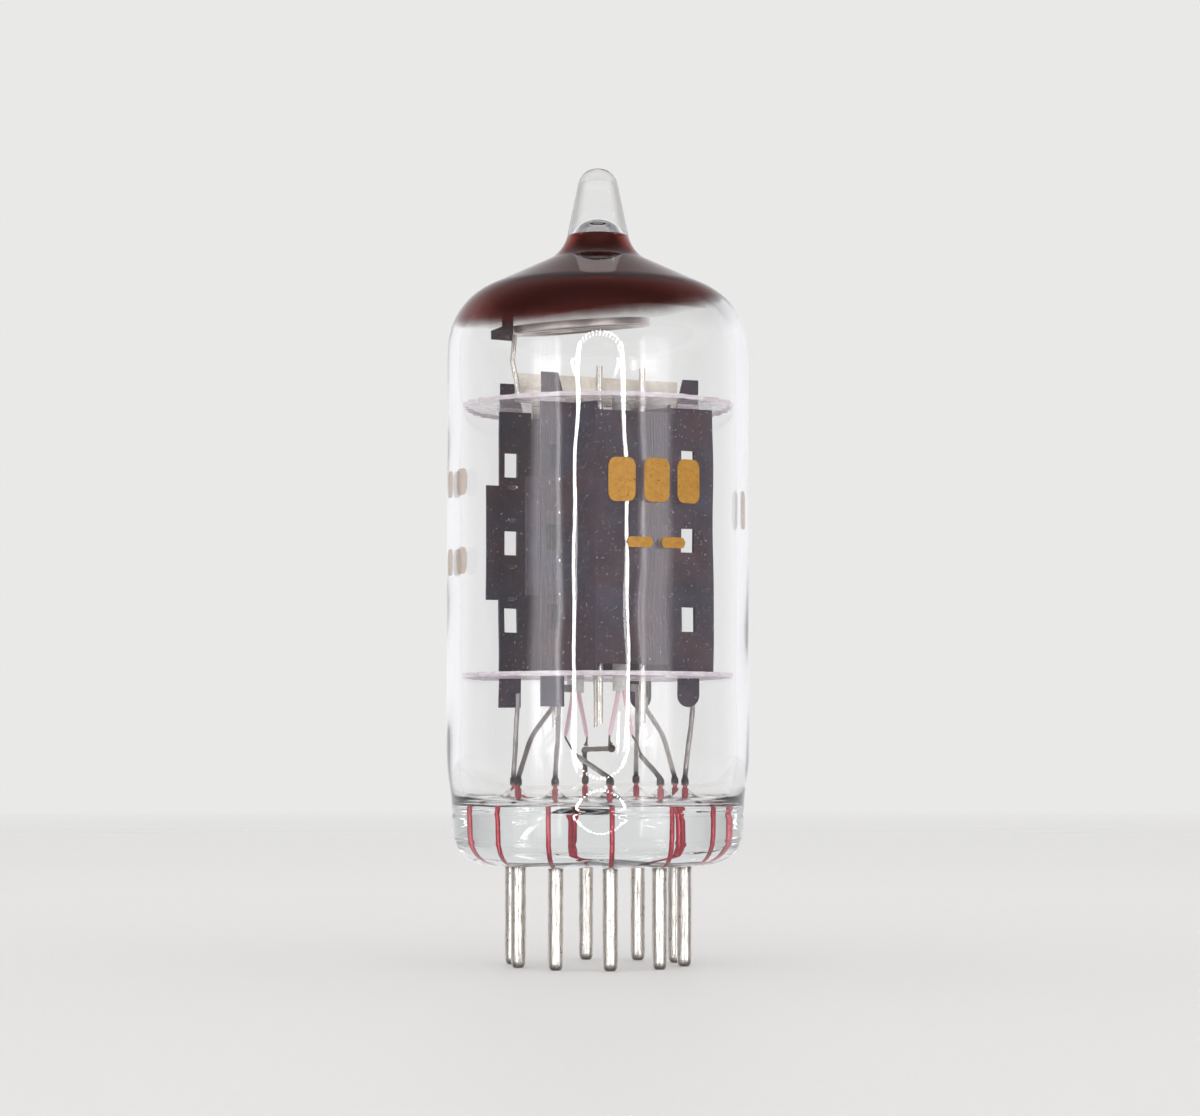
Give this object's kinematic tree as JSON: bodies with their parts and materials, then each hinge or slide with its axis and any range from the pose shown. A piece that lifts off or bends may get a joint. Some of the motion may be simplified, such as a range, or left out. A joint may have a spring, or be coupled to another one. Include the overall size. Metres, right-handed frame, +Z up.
{
  "type": "twin triode tube",
  "caption": "Miniature glass vacuum tube: paired dark anode boxes between micas, getter ring under a mirrored dome and a clear pressed base with a circle of pins.",
  "frame": {"origin": "on the axis of the glass, at the level of the pin tips", "axes": "+Z up along the glass to the sealed tip, +Y from the axis through the key gap of the pin circle, +X to the side of the lower pin numbers seen from below"},
  "size_m": [0.0207, 0.0206, 0.0548],
  "materials": {
    "glass": "clear, polished",
    "film": "dark mirror of spent getter metal",
    "pin": "nickel, scratched",
    "seal_wire": "copper-coated, reddish",
    "lead": "nickel, dull",
    "mica": "milky, translucent",
    "anode": "carbonised, dark grey",
    "grid": "bright drawn wire",
    "cathode": "nickel with white coating",
    "heater": "pinkish white coating, matt",
    "getter": "bright nickel",
    "bracket": "darkened by heat",
    "ink": "fired ochre ink, worn",
    "fill": "dark, crusted"
  },
  "bodies": {
    "root": {"glass_bulb": "glass", "button_stem": "glass", "pin_1": "pin", "pin_2": "pin", "pin_3": "pin", "pin_4": "pin", "pin_5": "pin", "pin_6": "pin", "pin_7": "pin", "pin_8": "pin", "pin_9": "pin", "seal_wire_1": "seal_wire", "seal_wire_2": "seal_wire", "seal_wire_3": "seal_wire", "seal_wire_4": "seal_wire", "seal_wire_5": "seal_wire", "seal_wire_6": "seal_wire", "seal_wire_7": "seal_wire", "seal_wire_8": "seal_wire", "seal_wire_9": "seal_wire", "lead_1": "lead", "lead_2": "lead", "lead_3": "lead", "lead_4": "lead", "lead_5": "lead", "lead_6": "lead", "lead_7": "lead", "lead_8": "lead", "lead_9": "lead", "lower_mica": "mica", "upper_mica": "mica", "anode_a_front": "anode", "anode_a_back": "anode", "anode_b_front": "anode", "anode_b_back": "anode", "grid_rod_a_left": "grid", "grid_rod_a_right": "grid", "grid_rod_b_left": "grid", "grid_rod_b_right": "grid", "grid_winding_a": "grid", "grid_winding_b": "grid", "cathode_a": "cathode", "cathode_b": "cathode", "cathode_ribbon_a": "lead", "cathode_ribbon_b": "lead", "heater_a": "heater", "heater_b": "heater", "getter_strap": "getter", "getter_post": "getter", "getter_bracket": "bracket", "getter_ring": "getter", "getter_fill": "fill", "getter_film": "film"}
  },
  "joints": []
}
